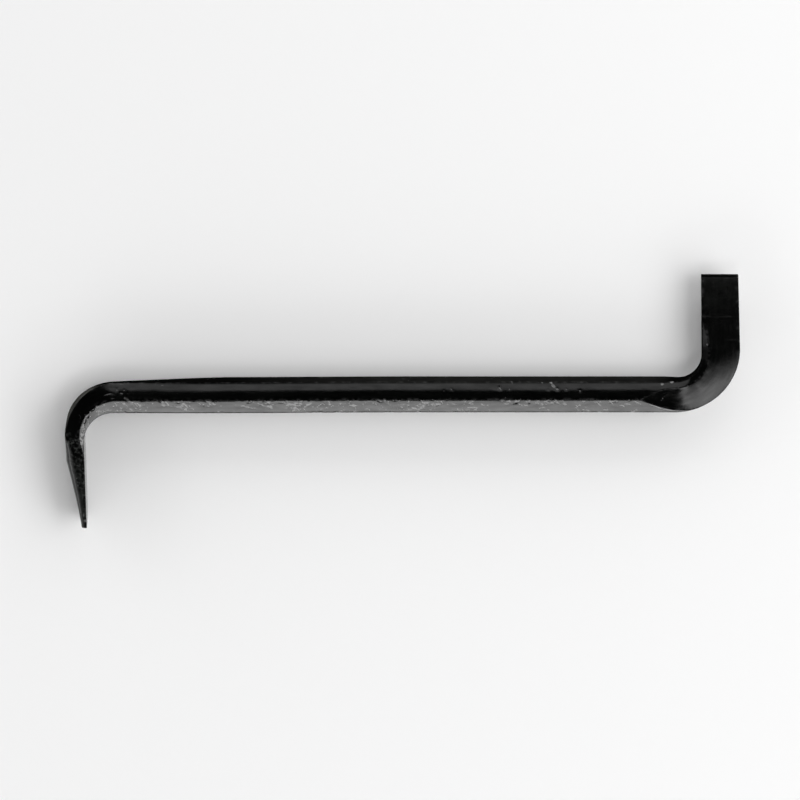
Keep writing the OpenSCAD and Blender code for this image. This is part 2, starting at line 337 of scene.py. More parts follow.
def make_stations():
    """Every station from the cross blade's tip to the level blade's."""
    turns = [math.pi / 2 * i / TIP_STEPS for i in range(TIP_STEPS + 1)]
    tip_edge = [
        (TIP_BREAK * (1 - math.cos(t)) / TAPER_LENGTH, TIP_BREAK * (1 - math.sin(t)))
        for t in turns
    ]
    start = TIP_BREAK / TAPER_LENGTH
    made = [worked(cross_blade(share, trim), 1.0) for share, trim in tip_edge]
    made += [worked(cross_blade(mix(start, 1, s)), 1.0) for s in shares(TAPER_LENGTH)]
    made += [worked(cross_arm(s), 1.0) for s in shares(CROSS_ARM_LENGTH)]
    for s in shares(CROSS_BEND_LENGTH):
        pull = DRAW_DEPTH * math.sin(math.pi / 2 * s) * mix(LEAN_SETS_IN, 1, ease(s))
        made.append(worked(cross_bend(s), mix(1, DRAWN_FORGED, s), pull))
    for s in shares(DRAW_LENGTH):
        pull = DRAW_DEPTH * (1 - s) ** DRAW_POWER
        made.append(worked(drawn_bar(s), DRAWN_FORGED * (1 - s) ** 2, pull))
    made += [worked(plain_bar(s), 0.0) for s in shares(RUNOUT_X - DRAW_X)]
    for s in shares(RUNOUT_LENGTH):
        made.append(worked(runout(s), LEVEL_FORGED * s, kept=ease(s / KEPT_SETS_IN)))
    for s in shares(LEVEL_BEND_LENGTH):
        made.append(worked(level_bend(s), LEVEL_FORGED, kept=1 - ease(s / KEPT_ENDS)))
    taper = np.linspace(1, start, len(shares(LEVEL_TAPER)) + 1)[1:]
    made += [worked(level_blade(s), LEVEL_FORGED) for s in taper]
    made += [worked(level_blade(share, trim), LEVEL_FORGED) for share, trim in tip_edge[-2::-1]]
    return made


stations = make_stations()


def of_stations(name):
    return np.array([station[name] for station in stations], float)


forged, pull, kept = of_stations("forged"), of_stations("pull"), of_stations("kept")


# ---------------------------------------------------------------------- rings
def section_corners(width):
    """The eight corners of every section, as across and up: [stations, 8, 2]."""
    top, inset_a, inset_b = of_stations("top"), of_stations("inset_a"), of_stations("inset_b")
    face_a = of_stations("face_a")
    face_a = np.where(np.isnan(face_a), top - inset_a * TAN_SLOPE, face_a)
    face_b = top - inset_b * TAN_SLOPE
    upper = [(0 * width, face_a), (inset_a, top), (width - inset_b, top), (width, face_b)]
    lower = [(x, -z) for x, z in upper[::-1]]
    return np.array(upper + lower).transpose(2, 0, 1)


def corner_cuts(edge, back_edge, inner, radius):
    """How far from each corner its rounding starts, on the side behind and on the side ahead."""
    room = ROUND_SHARE * np.minimum(edge, back_edge)
    shallow = rise(np.degrees(inner) - SHALLOW, over=STRAIGHT - SHALLOW)
    cut = np.clip(radius / np.tan(inner / 2), LEAST_ROUND + shallow * room, None)
    cut = np.minimum(cut, room)
    behind, ahead = cut.copy(), cut.copy()

    # The outer edge of the cross blade is rounded far more, and more so down its side
    over = np.minimum(of_stations("outer"), OUTER_OVER * edge[:, A_SLOPE])
    down = np.minimum(OUTER_STRETCH * over, OUTER_DOWN * edge[:, A_SIDE])
    for corner, on_slope, on_side in ((A_SLOPE, ahead, behind), (A_SIDE, behind, ahead)):
        on_slope[:, corner] = np.maximum(on_slope[:, corner], over)
        on_side[:, corner] = np.maximum(on_side[:, corner], down)
    left = LEFT_OVER * (edge[:, A_SLOPE] - ahead[:, A_SLOPE])
    behind[:, TOP] = np.minimum(behind[:, TOP], left)
    ahead[:, LOW_A] = np.minimum(ahead[:, LOW_A], left)
    return behind, ahead


def crown(edge, radius):
    """A function that gives how far a face sags, by the face and the place across it.

    A crowned face keeps its middle and gives way towards its edges.
    """
    big = rise(edge - CROWN_STARTS, over=CROWN_FULL - CROWN_STARTS)
    limit = CROWN_LIMIT * np.minimum(radius, BAR_EDGE_RADIUS)
    sag = np.minimum(edge * CROWN_PER_WIDTH * big, limit * (1 - FORGED_FLATTER * forged[:, None]))
    own_sag = np.maximum(sag, np.roll(sag, 1, 1))
    whole = CROWN_INSET / math.cos(SLOPE_ANGLE)

    def kept_sag(from_a):
        """The hexagon slope's own sag at a share of the narrower slope, from the a side."""
        return whole * CROWN_PER_WIDTH * (2 * from_a * edge[:, A_SLOPE] / whole - 1) ** 2

    corner_sag = own_sag.copy()
    for corner, from_a in ((A_SLOPE, 0), (A_SIDE, 0), (TOP, 1), (LOW_A, 1)):
        corner_sag[:, corner] = mix(own_sag[:, corner], kept_sag(from_a), kept)

    def sag_at(face, across):
        share = 1 - big[:, face] * (1 - (2 * across - 1) ** 2)
        slope = face in (A_SLOPE, LOW_A)
        ends = own_sag if slope else corner_sag
        given = mix(ends[:, face], ends[:, (face + 1) % 8], across) * share
        if slope:
            given = mix(given, kept_sag(across if face == A_SLOPE else 1 - across), kept)
        return given

    return sag_at


def outline(corners, start, end, lost_back, lost_ahead):
    """Every point of the ring in turn, as its place, its face and how far across it is.

    Each corner's rounding goes from start to end, and takes the share lost_back of the
    face behind it and lost_ahead of its own. The ring begins at LOW_A's corner.
    """
    for face in (LOW_A, A_SIDE, A_SLOPE, TOP, B_SLOPE, B_SIDE, LOW_B, BOTTOM):
        before, after = (face + 7) % 8, (face + 1) % 8
        corner = corners[:, face]
        for step in range(CORNER_POINTS):
            t = step / (CORNER_POINTS - 1)
            point = mix(mix(start[:, face], corner, t), mix(corner, end[:, face], t), t)
            if t < 0.5:
                yield point, before, 1 - lost_back[:, face] * (1 - 2 * t)
            else:
                yield point, face, lost_ahead[:, face] * (2 * t - 1)
        first, last = lost_ahead[:, face], 1 - lost_back[:, after]
        count = SIDE_POINTS if face in (A_SIDE, B_SIDE) else FACE_POINTS
        for step in range(1, count + 1):
            t = step / (count + 1)
            yield mix(end[:, face], start[:, after], t), face, mix(first, last, t)


def rings():
    """The outline of every station as points, and what each point is.

    Returns xy and z of the points, each [stations, ring], how far across the tool a
    point lies from its middle, its face, how far across that face it is, the widths of
    the faces, and the distance round the ring.
    """
    a, b = of_stations("a"), of_stations("b")
    width = np.linalg.norm(b - a, axis=1)
    corners = section_corners(width)
    ahead = np.roll(corners, -1, 1) - corners
    edge = np.linalg.norm(ahead, axis=2)
    ahead /= edge[..., None]
    back, back_edge = -np.roll(ahead, 1, 1), np.roll(edge, 1, 1)
    inner = np.arccos(np.clip((ahead * back).sum(2), -1, 1))
    radius = np.repeat(of_stations("radius")[:, None], 8, 1)
    cut_back, cut_ahead = corner_cuts(edge, back_edge, inner, radius)
    start = corners + cut_back[..., None] * back
    end = corners + cut_ahead[..., None] * ahead
    traced = list(outline(corners, start, end, cut_back / back_edge, cut_ahead / edge))

    sag_at = crown(edge, radius)
    x = np.array([point[:, 0] for point, _, _ in traced]).T
    z = np.array([point[:, 1] for point, _, _ in traced]).T
    faces = np.array([face for _, face, _ in traced])
    across = np.array([share for _, _, share in traced]).T
    sag = np.array([sag_at(face, share) for _, face, share in traced]).T

    # The crown is cut along the outline's own normal
    dx = np.roll(x, -1, 1) - np.roll(x, 1, 1)
    dz = np.roll(z, -1, 1) - np.roll(z, 1, 1)
    size = np.hypot(dx, dz)
    x, z = x + sag * dz / size, z - sag * dx / size

    # The a side's upper edge is pulled out past its foot, and down along the slope
    out = np.where(faces == A_SIDE, across, np.where(faces == A_SLOPE, 1 - across, 0.0))
    out = out * pull[:, None]
    x, z = x - out, z - out * TAN_SLOPE

    step = np.hypot(np.roll(x, -1, 1) - x, np.roll(z, -1, 1) - z)
    around = np.concatenate([np.zeros((len(x), 1)), np.cumsum(step, 1)[:, :-1]], 1)
    rail = (b - a) / width[:, None]
    xy = a[:, None] + x[..., None] * rail[:, None]
    return xy, z, x - width[:, None] / 2, faces, across, edge, around


xy, z, offset, face_of, across, face_width, around = rings()
rows, ring = z.shape
middle = (of_stations("a") + of_stations("b")) / 2
middle_step = np.linalg.norm(np.diff(middle, axis=0), axis=1)
along = np.concatenate([[0], np.cumsum(middle_step)])
bow_share = rise(BOW_START - xy[..., 0], over=BOW_START - BOW_END)
xy[..., 1] -= BOW * bow_share**2 * (3 - 2 * bow_share)
points = np.concatenate([xy + [0, AXIS_Y], z[..., None] + AXIS_Z], 2)
width_here = np.take_along_axis(face_width, np.repeat(face_of[None], rows, 0), 1)


def outward_normals():
    down = np.gradient(points, axis=0)
    over = np.roll(points, -1, 1) - np.roll(points, 1, 1)
    found = np.cross(over, down)
    found /= np.linalg.norm(found, axis=2, keepdims=True)
    centre = points.mean(1, keepdims=True)
    return -found if ((points - centre) * found).sum() < 0 else found


normal = outward_normals()


# ------------------------------------------------------- unevenness and damage
SEED_STEP = (17.3, 5.1, 9.7)    # how far apart in the noise two seeds lie


def field(scale, seed, stretch):
    """Smooth noise, about -1 to 1. It follows the tool as if the tool were straight."""
    shift = Vector([seed * step for step in SEED_STEP])
    out = np.empty((rows, ring))
    for r in range(rows):
        s = along[r] / (scale * stretch)
        for c in range(ring):
            out[r, c] = noise.noise(Vector((s, offset[r, c] / scale, z[r, c] / scale)) + shift)
    return out


# Scale of the noise, its seed, its stretch along the tool, how far the noise is lifted to
# make its hollows wider, their depth where the bar is only rolled, and what full forging
# adds to that depth
UNEVENNESS = (
    (9, 1, 1.0, 0.3, 0.008, 0.016),     # long waves
    (3.2, 2, 1.4, 0.0, 0.0, 0.02),      # hammer marks
    (1.6, 3, 3.0, 0.0, 0.005, 0.0),     # draw marks
    (1.1, 4, 1.6, 0.1, 0.0, 0.022),     # pits
)
depth = np.zeros((rows, ring))
for scale, seed, stretch, lift, rolled, added in UNEVENNESS:
    hollows = np.clip(field(scale, seed, stretch) + lift, 0, None)
    depth = depth + (rolled + added * forged[:, None]) * hollows
bare = np.zeros((rows, ring))


def reach_of(x, y=0.0):
    """Distance along the tool from the cross tip to the place nearest to x and y."""
    return along[np.argmin(np.hypot(middle[:, 0] - x, middle[:, 1] - y))]


MARK_FADES = 2.2            # lengths from its middle where a mark is too faint to count
MARK_POWER = 1.2            # above 1, so that a mark has a fuller middle than a bell


def mark(distance, face, share, length, breadth, deep, bright, turn=0.0):
    """A nick or scratch: a dent in the surface, with bare metal in it."""
    row = int(np.argmin(np.abs(along - distance)))
    ring_at = np.where(face_of == face)[0]
    col = ring_at[np.argmin(np.abs(across[row, ring_at] - share))]
    reach = int(length * MARK_FADES / STATION_GAP) + 3
    r0, r1 = max(0, row - reach), min(rows, row + reach)
    ds = along[r0:r1, None] - along[row]
    dp = around[r0:r1] - around[r0:r1, col : col + 1]
    total = around[r0:r1, -1:]
    dp = np.where(dp > total / 2, dp - total, np.where(dp < -total / 2, dp + total, dp))
    u = ds * math.cos(turn) + dp * math.sin(turn)
    v = -ds * math.sin(turn) + dp * math.cos(turn)
    hit = np.exp(-((u / length) ** 2 + (v / breadth) ** 2) ** MARK_POWER)
    depth[r0:r1] += deep * hit
    bare[r0:r1] = np.maximum(bare[r0:r1], bright * hit)


# How much the knocks of one cluster differ
MOST_IN_CLUSTER = 6
ALONG_SPREAD, ACROSS_SPREAD = 0.9, 0.12     # in mm, and as a share of the face
LENGTH_SPREAD, BREADTH_SPREAD = 0.45, 0.3
DEPTH_RANGE, BRIGHT_RANGE = (0.4, 1.2), (0.3, 1.0)
TURN_SPREAD = 0.6
rng = np.random.default_rng(11)


def scatter(count, start, stop, face, low, high, length, breadth, deep, bright):
    """Knocks in loose clusters, between two places along the tool and two shares across."""
    while count > 0:
        distance, share = rng.uniform(start, stop), rng.uniform(low, high)
        group = int(rng.integers(1, MOST_IN_CLUSTER + 1))
        for _ in range(group):
            here = min(max(share + rng.normal(0, ACROSS_SPREAD), low), high)
            mark(
                distance + rng.normal(0, ALONG_SPREAD), face, here,
                length * rng.lognormal(0, LENGTH_SPREAD),
                breadth * rng.lognormal(0, BREADTH_SPREAD),
                deep * rng.uniform(*DEPTH_RANGE), bright * rng.uniform(*BRIGHT_RANGE),
                rng.normal(0, TURN_SPREAD),
            )
        count -= group


ARM_MIDDLE = -57.5          # about the X of the cross arm's middle
arm_root = reach_of(ARM_MIDDLE, -CROSS_REACH + TAPER_LENGTH)
bend_start = reach_of(*CROSS_ROUND + [-CROSS_ROUND_RADIUS, 0])
bar_start, bar_end = reach_of(CROSS_HOLLOW[0]), reach_of(RUNOUT_X)
tool_end = along[-1]

# Each call gives how many knocks, from where to where along the tool, the face, the lowest
# and highest share across it, and their length, breadth, depth and brightness.
# The ridges above and below take most of them, just on the b side.
for face in (B_SLOPE, LOW_B):
    for low, high, count in ((0.02, 0.35, 260), (0.3, 0.75, 170), (0.75, 0.98, 70)):
        span = (low, high) if face == B_SLOPE else (1 - high, 1 - low)
        scatter(count, bar_start - 3, bar_end, face, *span, 0.34, 0.19, 0.025, 1.0)
        scatter(count // 8, bend_start - 2, bar_start, face, *span, 0.3, 0.2, 0.03, 1.0)
    scatter(30, bar_start, bar_end, face, 0.1, 0.9, 1.1, 0.13, 0.015, 0.7)
for face in (A_SLOPE, LOW_A):
    scatter(26, bar_start, bar_end, face, 0.05, 0.95, 0.3, 0.16, 0.02, 0.7)
    scatter(34, arm_root - 3, bar_start - 4, face, 0.05, 0.95, 0.28, 0.16, 0.02, 0.45)
    scatter(14, 0.5, arm_root, face, 0.2, 0.95, 0.25, 0.14, 0.015, 0.5)
for face in (A_SIDE, B_SIDE):
    scatter(26, bar_start, bar_end, face, 0.02, 0.98, 0.35, 0.16, 0.02, 0.6)
    scatter(10, bar_end, tool_end, face, 0.02, 0.98, 0.35, 0.16, 0.015, 0.4)
for face in (TOP, BOTTOM):
    scatter(8, bar_end, tool_end, face, 0.1, 0.9, 0.3, 0.14, 0.012, 0.35)

# Knocks that stand out: x, y, face, share across it, length, breadth, depth, brightness, turn
KNOCKS = (
    # on the upper slope of the a side
    (26.4, 0.0, A_SLOPE, 0.2, 0.5, 0.3, 0.03, 1.0, 0.6),
    (27.0, 0.0, A_SLOPE, 0.38, 0.3, 0.25, 0.03, 0.9, -0.8),
    (26.0, 0.0, A_SLOPE, 0.05, 0.3, 0.2, 0.03, 0.8, 0.0),
    (45.3, 0.0, A_SLOPE, 0.3, 0.35, 0.25, 0.03, 0.9, 0.0),
    (46.9, 0.0, A_SLOPE, 0.05, 0.35, 0.25, 0.03, 0.9, 0.0),
    (-49.5, 0.0, A_SLOPE, 0.12, 0.9, 0.14, 0.01, 0.5, 0.1),
    (-42.0, 0.0, A_SLOPE, 0.12, 0.5, 0.12, 0.01, 0.5, 0.1),
    (-51.5, -0.4, A_SLOPE, 0.6, 1.5, 0.12, 0.012, 0.55, 0.1),
    (-50.8, -0.4, A_SLOPE, 0.85, 1.2, 0.12, 0.012, 0.45, 0.15),
    # on the run-out and along the level end
    (45.6, 0.0, TOP, 0.5, 1.2, 0.13, 0.01, 0.62, -0.8),
    (55.4, 9.4, A_SLOPE, 0.9, 0.25, 0.2, 0.02, 0.9, 0.0),
    (55.4, 14.3, TOP, 0.7, 0.09, 1.6, 0.008, 0.3, 0.0),
    (55.4, 10.2, TOP, 0.8, 0.09, 1.2, 0.01, 0.3, 0.0),
)
for x, y, *rest in KNOCKS:
    mark(reach_of(x, y), *rest)
# ... and one by the cross blade's tip, with its distance from the very end first
TIP_KNOCK = (1.3, TOP, 0.3, 0.3, 0.25, 0.02, 0.8)
mark(*TIP_KNOCK)

# Longer scrapes on the upper slope of the b side: x, share across it, length, turn
SCRAPE_BREADTH, SCRAPE_DEPTH = 0.15, 0.016
SCRAPES = (
    (47.2, 0.3, 2.6, 0.0), (44.2, 0.12, 1.5, 0.1), (41.2, 0.2, 1.1, 0.5),
    (39.4, 0.3, 1.3, 0.2), (38.3, 0.42, 0.9, -0.3), (36.6, 0.25, 0.8, 1.0),
    (34.4, 0.3, 0.9, 0.9), (30.6, 0.5, 0.8, -0.9), (21.5, 0.35, 0.9, 0.3),
    (12.4, 0.55, 1.6, 0.1), (3.0, 0.3, 1.0, -0.5), (-8.5, 0.4, 1.6, 0.15),
    (-14.5, 0.35, 1.4, -0.8), (-19.2, 0.3, 1.1, 0.2), (-27.0, 0.45, 1.7, 0.3),
    (-33.5, 0.3, 1.2, -0.6), (-39.0, 0.5, 0.9, 0.4), (-46.0, 0.3, 1.0, 0.8),
)
for x, share, length, turn in SCRAPES:
    mark(reach_of(x), B_SLOPE, share, length, SCRAPE_BREADTH, SCRAPE_DEPTH, 1.0, turn)

points = points - normal * depth[..., None]
points = np.clip(points, [-END_X, -HALF_BOX_Y, 0], [END_X, HALF_BOX_Y, 2 * AXIS_Z])

# ----------------------------------------------- where the finish changes, 0 to 1
# How far the matt film of the a side's flat reaches round its corners above and below,
# how much less above where the flat leans most, and over what width it fades
FILM_ABOVE, FILM_BELOW, FILM_LEAN_LOSS, FILM_FADE = 0.3, 0.4, 0.15, 0.1
B_FILM_REACH = 0.3          # the same for the b side's upper corner
B_FILM_DRAWN, B_FILM_BAR = 0.88, 0.7    # how strong that film is, on the drawn part and later
BLADE_DULL = 0.2            # length of the dull edge at the level blade's end
DULL_BEFORE_BEND = 0.5      # how dull the cross arm's side is
BLADE_BLOOM = 0.2           # how much bloom the level blade's end has
BAR_PAINTED_REFLECTION = 0.2              # how light the painted reflection on the bar's dull flat is

from_side = across * width_here
to_side = (1 - across) * width_here
bend_share = (along - bend_start) / (bar_start - bend_start)

# Scuffs: on the cross arm only
scuffed = rise(bend_start + 1.5 - along, over=2.0)

# Bloom: on the cross blade, less by its inner edge, and a little on the level blade's end
inner_edge = np.where(face_of == TOP, rise(to_side, over=1.1) ** 1.5, 1.0)
inner_edge = np.where(face_of == B_SLOPE, 0.0, inner_edge)
bloomed = rise(arm_root + 1.5 - along, over=2.5)[:, None] * inner_edge
bloomed = bloomed + BLADE_BLOOM * rise(along - tool_end + 7, over=3)[:, None]

# Dull: the flat on the a side and its corners
film_reach = FILM_ABOVE - FILM_LEAN_LOSS * (pull / DRAW_DEPTH)[:, None]
film_above = rise(film_reach - from_side, over=FILM_FADE)
film_below = rise(FILM_BELOW - to_side, over=FILM_FADE)
dull = np.where(face_of == A_SIDE, 1.0, np.where(face_of == A_SLOPE, film_above, 0.0))
dull = np.maximum(dull, np.where(face_of == LOW_A, film_below, 0.0))
dull = dull * mix(DULL_BEFORE_BEND, 1.0, rise(bend_share, over=0.15))[:, None]
# ... the level blade's end
dull = np.maximum(dull, rise(along - tool_end + BLADE_DULL, over=0.1)[:, None])
# ... and, less so, the b side's upper corner, most of all on the drawn part
from_b_side = np.where(face_of == B_SLOPE, to_side, np.where(face_of == B_SIDE, 0.0, 1.0))
b_film = rise(B_FILM_REACH - from_b_side, over=FILM_FADE)
b_film = b_film * rise(along - bar_start, over=2)[:, None]
b_strength = mix(B_FILM_DRAWN, B_FILM_BAR, rise(along - bar_start - 25, over=30))
dull = np.maximum(dull, b_film * b_strength[:, None])

# Painted reflection: the dull parts are painted lighter, standing for the lit floor mirrored in
# them, round the cross bend and, growing towards +X, a little on the bar until the run-out
painted_reflection = BAR_PAINTED_REFLECTION * rise(middle[:, 0] + 30, over=25) * rise(47 - middle[:, 0], over=3)
painted_reflection = painted_reflection + rise(bend_share - 0.05, over=0.15) * rise(0.84 - bend_share, over=0.18)

# ------------------------------------------------------------------- the mesh
END_RING = 0.8              # size of the ring that each end has inside its edge
EDGE_WEAR = 0.22            # distance from a corner over which its wear fades

# The bake's map: the strip round the tool in lanes, and the two ends beside them, in mm
MAP_LANES = 3
MAP_GAP = 0.2               # beside each lane, and for the step that closes the ring
MAP_MARGIN = 0.6            # beside the whole map
MAP_ENDS_WIDTH = 4          # kept free beside the lanes for the two ends
MAP_END_STEP = 0.05         # how far along the tool the step to each end's inner ring counts
MAP_END_NARROW = 0.3        # how narrow an end is laid
MAP_ENDS = ((0, -1, 5), (-1, 1, 15))    # station, direction round it, place up the map


def closed_mesh():
    """The rings joined to one closed mesh, with a smaller ring inside each end."""
    ends = [p.mean(0) + (p - p.mean(0)) * END_RING for p in (points[0], points[-1])]
    vertices = np.concatenate([points.reshape(-1, 3), *ends]) * MM
    index = np.arange(rows * ring).reshape(rows, ring)
    first = rows * ring + np.arange(ring)
    last = first + ring
    grid = np.concatenate([first[None], index, last[None]])
    here, there = grid[:-1], grid[1:]
    quads = np.stack([here, np.roll(here, -1, 1), np.roll(there, -1, 1), there], 2)
    faces = quads.reshape(-1, 4).tolist() + [first[::-1].tolist(), last.tolist()]
    mesh = bpy.data.meshes.new("driver_forging")
    mesh.from_pydata(vertices.tolist(), [], faces)
    return mesh


def add_values(mesh):
    """The values that the material reads at every point."""

    def spread(values):
        flat = np.asarray(values, float).reshape(rows, ring, -1)
        return np.concatenate([flat.reshape(rows * ring, -1), flat[0], flat[-1]])

    def all_round(values):
        return np.repeat(values[:, None], ring, 1)

    layer = mesh.attributes.new("grain", "FLOAT_VECTOR", "POINT")
    layer.data.foreach_set("vector", spread(np.stack([all_round(along), offset, z], 2)).ravel())
    near = np.minimum(across, 1 - across) * width_here
    values = {
        "bare": bare,
        "edge": np.exp(-((near / EDGE_WEAR) ** 2)),
        "forged": all_round(forged),
        "dull": dull,
        "scuffed": all_round(scuffed),
        "bloomed": bloomed,
        # painted reflection of the lit floor on the dull parts
        "painted_reflection": all_round(painted_reflection),
    }
    for name, value in values.items():
        layer = mesh.attributes.new(name, "FLOAT", "POINT")
        layer.data.foreach_set("value", spread(value).ravel())


def add_map(mesh):
    """Places in the bake's map for the strip and for both ends."""
    perimeter = around[:, -1:] + MAP_GAP
    lane_length, lane_height = along[-1] / MAP_LANES, perimeter.max() + 2 * MAP_GAP
    size = max(lane_length + MAP_ENDS_WIDTH, lane_height * MAP_LANES)
    s_grid = np.concatenate([[along[0] - MAP_END_STEP], along, [along[-1] + MAP_END_STEP]])
    lane_of = ((s_grid[:-1] + s_grid[1:]) / 2 / lane_length).astype(int)
    lane_of = np.clip(lane_of, 0, MAP_LANES - 1)[:, None]
    s0 = np.repeat(s_grid[:-1, None], ring, 1) - lane_of * lane_length
    s1 = np.repeat(s_grid[1:, None], ring, 1) - lane_of * lane_length
    round_grid = np.concatenate([around, perimeter], 1)
    round_grid = np.concatenate([round_grid[:1], round_grid, round_grid[-1:]])
    lift = lane_of * lane_height
    quads = np.stack(
        [
            np.stack([s0, round_grid[:-1, :-1] + lift], 2),
            np.stack([s0, round_grid[:-1, 1:] + lift], 2),
            np.stack([s1, round_grid[1:, 1:] + lift], 2),
            np.stack([s1, round_grid[1:, :-1] + lift], 2),
        ],
        2,
    )
    places = [quads.reshape(-1, 2) + MAP_GAP]
    for station, order, up in MAP_ENDS:
        flat = points[station][::order]
        wide = np.hypot(*(flat[:, :2] - flat[0, :2]).T)
        local = np.stack([flat[:, 2] - AXIS_Z, wide], 1) * END_RING
        local[:, 0] *= MAP_END_NARROW
        places.append(np.array([size - MAP_ENDS_WIDTH / 2, up]) + local - local.mean(0))
    uv = mesh.uv_layers.new(name="OFBake")
    uv.data.foreach_set("uv", (np.concatenate(places) / (size + MAP_MARGIN)).ravel())


def build_piece():
    """The forging, with the values that its material reads and its map."""
    mesh = closed_mesh()
    add_values(mesh)
    add_map(mesh)
    mesh.polygons.foreach_set("use_smooth", [True] * len(mesh.polygons))
    mesh.validate(verbose=False)
    mesh.update()
    made = bpy.data.objects.new("driver_forging", mesh)
    bpy.context.scene.collection.objects.link(made)
    return made


piece = build_piece()

# ----------------------------------------------------------------- materials
DEEP_BLACK, OILED_BLACK = (0.0001, 0.0002, 0.00015, 1), (0.0007, 0.0009, 0.0008, 1)
MATT_BLACK, STREAK = (0.0006, 0.0006, 0.0006, 1), (0.003, 0.003, 0.0028, 1)
SCUFF, BLOOM = (0.05, 0.052, 0.05, 1), (0.013, 0.014, 0.013, 1)
# The first grey on the next line is a painted reflection: the lit floor mirrored in the dull parts
PAINTED_REFLECTION_GREY, BARE_METAL = (0.06, 0.06, 0.056, 1), (0.14, 0.14, 0.14, 1)
OIL_IOR = 1.5
BUMP_STRENGTH, BUMP_DISTANCE = 0.25, 0.00002


class Graph:
    """The nodes of one material, with a short way to add each kind."""

    def __init__(self, name):
        self.material = bpy.data.materials.new(name)
        self.material.use_nodes = True
        self.tree = self.material.node_tree
        self.link = self.tree.links.new
        self.shader = self.tree.nodes["Principled BSDF"]
        self.grain = self.painted("grain", "Vector")

    def add(self, kind, values=None, **settings):
        made = self.tree.nodes.new(kind)
        for name, value in settings.items():
            setattr(made, name, value)
        for name, value in (values or {}).items():
            made.inputs[name].default_value = value
        return made

    def feed(self, sockets, values):
        """A constant goes into its socket, and anything else is linked to it."""
        for socket, value in zip(sockets, values):
            if isinstance(value, (int, float, tuple)):
                socket.default_value = value
            else:
                self.link(value, socket)

    def painted(self, name, output="Fac"):
        """One of the values that the mesh gives at every point."""
        return self.add("ShaderNodeAttribute", attribute_name=name).outputs[output]

    def cloud(self, scale, detail=3.0, rough=0.55, stretch=1.0):
        """Noise over the tool, stretched along it."""
        spread = self.add("ShaderNodeMapping", {"Scale": (1 / stretch, 1, 1)})
        self.link(self.grain, spread.inputs["Vector"])
        values = {"Scale": scale, "Detail": detail, "Roughness": rough}
        made = self.add("ShaderNodeTexNoise", values)
        self.link(spread.outputs["Vector"], made.inputs["Vector"])
        return made.outputs["Fac"]

    def band(self, value, low, high, start=0.0, end=1.0):
        """Goes from start to end while the value goes from low to high."""
        values = {"From Min": low, "From Max": high, "To Min": start, "To Max": end}
        made = self.add("ShaderNodeMapRange", values, clamp=True)
        self.link(value, made.inputs["Value"])
        return made.outputs[0]

    def patchy(self, scale, detail, low, high, start=0.0, end=1.0, rough=0.55, stretch=1.0):
        """Such noise, turned into patches from start to end."""
        return self.band(self.cloud(scale, detail, rough, stretch), low, high, start, end)

    def math(self, operation, *values, clamp=False):
        made = self.add("ShaderNodeMath", operation=operation, use_clamp=clamp)
        self.feed(made.inputs, values)
        return made.outputs[0]

    def times(self, *values):
        return self.math("MULTIPLY", *values)

    def plus(self, *values, clamp=False):
        return self.math("ADD", *values, clamp=clamp)

    def blend(self, share, start, end):
        """One colour by share 0 and the other by share 1."""
        made = self.add("ShaderNodeMix", data_type="RGBA")
        self.feed(made.inputs[6:8], (start, end))
        self.link(share, made.inputs[0])
        return made.outputs[2]


def bare_flecks(graph):
    """Where the metal is bare. Flecks have ragged outlines, and noise alone gives the finest."""
    ragged = graph.plus(graph.cloud(5.5, 4), 0.45)
    fleck = graph.band(graph.times(graph.painted("bare"), ragged), 0.3, 0.62)
    dust = graph.patchy(4.2, 5, 0.68, 0.76, rough=0.7)
    knocked = graph.times(graph.painted("edge"), graph.patchy(1.1, 4, 0.5, 0.68))
    worn = graph.math("MAXIMUM", fleck, graph.times(dust, 0.25))
    return graph.math("MAXIMUM", worn, graph.times(knocked, 0.2), clamp=True)


def scuffing(graph):
    """Where the cross arm is scuffed, in patches of patches."""
    scuff = graph.times(
        graph.patchy(1.5, 4, 0.48, 0.66, rough=0.6), graph.patchy(0.5, 3, 0.4, 0.6, 0.35, 1.0)
    )
    return graph.times(scuff, graph.painted("scuffed"))


def steel_colour(graph, worn, scuff, streaks, dull):
    """Patchy black with streaks along the tool, scuffs and bloom, matt where it is dull, and there
    painted lighter as a reflection of the lit floor.
    """
    black = graph.blend(graph.patchy(0.55, 4, 0.35, 0.7), DEEP_BLACK, OILED_BLACK)
    black = graph.blend(graph.times(streaks, 0.3), black, STREAK)
    black = graph.blend(graph.times(scuff, 0.8), black, SCUFF)
    bloom = graph.times(graph.patchy(0.75, 3, 0.38, 0.62, 0.1, 1.0), graph.painted("bloomed"))
    black = graph.blend(bloom, black, BLOOM)
    # Painted reflection of the lit floor on the dull parts, broken into patches
    reflection_patches = graph.patchy(1.2, 4, 0.3, 0.7, 0.35, 1.0, rough=0.65, stretch=3)
    matt = graph.blend(streaks, MATT_BLACK, STREAK)
    matt = graph.blend(graph.times(graph.painted("painted_reflection"), reflection_patches), matt, PAINTED_REFLECTION_GREY)
    black = graph.blend(graph.times(dull, 0.9), black, matt)
    return graph.blend(worn, black, BARE_METAL)


def oil_gloss(graph, dull):
    """An uneven oil film, with none of it where the surface is dull."""
    film = graph.patchy(1.1, 4, 0.3, 0.7, 0.38, 0.62, rough=0.6, stretch=4)
    return graph.times(film, graph.math("SUBTRACT", 1.0, dull))


def steel_roughness(graph, worn, scuff, streaks, forged_at):
    rough = graph.patchy(2.0, 4, 0.3, 0.7, 0.055, 0.085)
    rough = graph.plus(rough, graph.times(streaks, 0.03))
    rough = graph.plus(rough, graph.times(scuff, 0.1))
    rough = graph.plus(rough, graph.times(forged_at, 0.05))
    return graph.plus(rough, graph.times(worn, 0.25), clamp=True)


